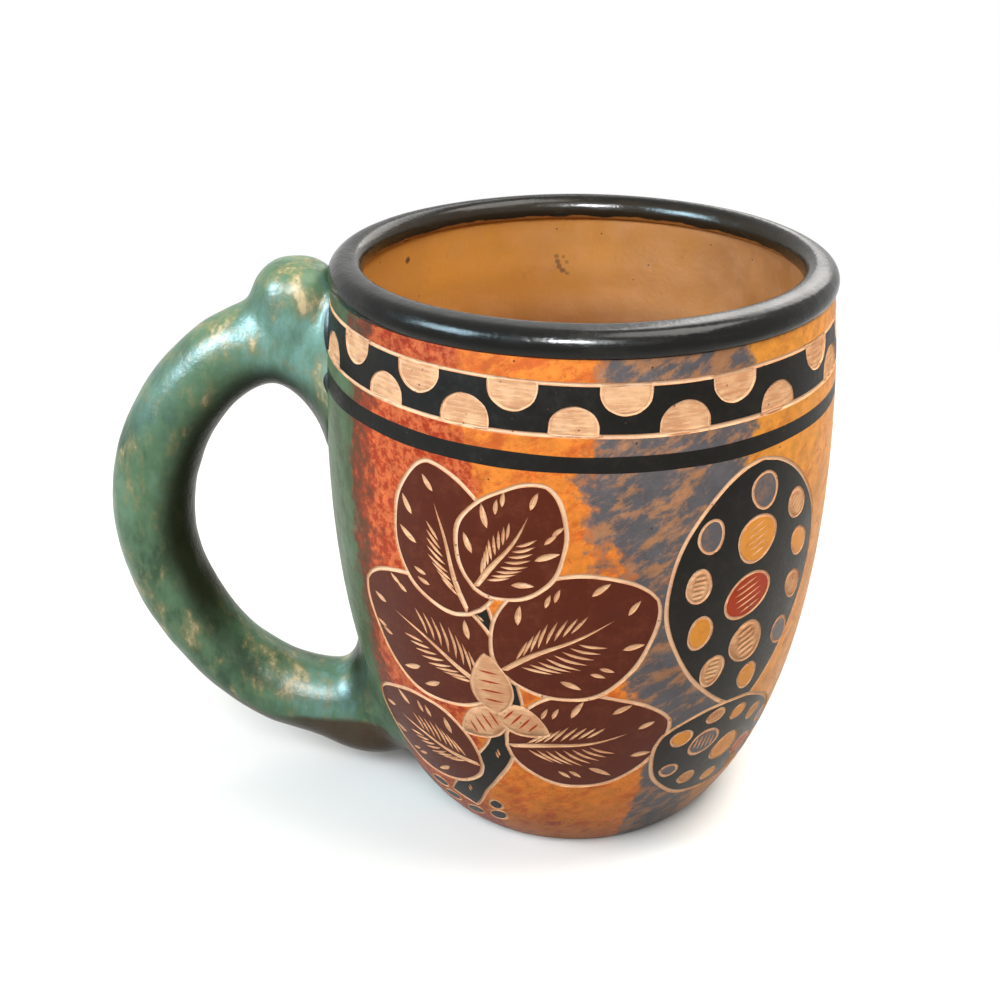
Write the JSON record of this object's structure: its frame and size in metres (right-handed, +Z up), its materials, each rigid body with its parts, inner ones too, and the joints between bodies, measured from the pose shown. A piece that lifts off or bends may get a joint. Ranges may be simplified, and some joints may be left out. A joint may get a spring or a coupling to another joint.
{
  "type": "jarrito clay mug",
  "caption": "Burnished clay mug with a rounded foot, rolled rim, thick coil handle with a thumb rest, and slip bands round the neck.",
  "frame": {"origin": "middle of the flat foot, on the surface that the mug stands on", "axes": "+Z up the cup's axis, -X to the handle"},
  "size_m": [0.1279, 0.0874, 0.1016],
  "materials": {
    "body_clay": "burnished slips over terracotta, satin",
    "rim_slip": "burnished black slip, semi-gloss",
    "handle_slip": "burnished green slip, worn, semi-gloss",
    "band_slip": "burnished black slip, satin"
  },
  "bodies": {
    "root": {"cup_body": "body_clay", "rim_roll": "rim_slip", "handle_coil": "handle_slip", "thumb_rest": "handle_slip", "upper_joint": "handle_slip", "lower_joint": "handle_slip", "dotted_band": "band_slip", "plain_stripe": "band_slip"}
  },
  "joints": []
}
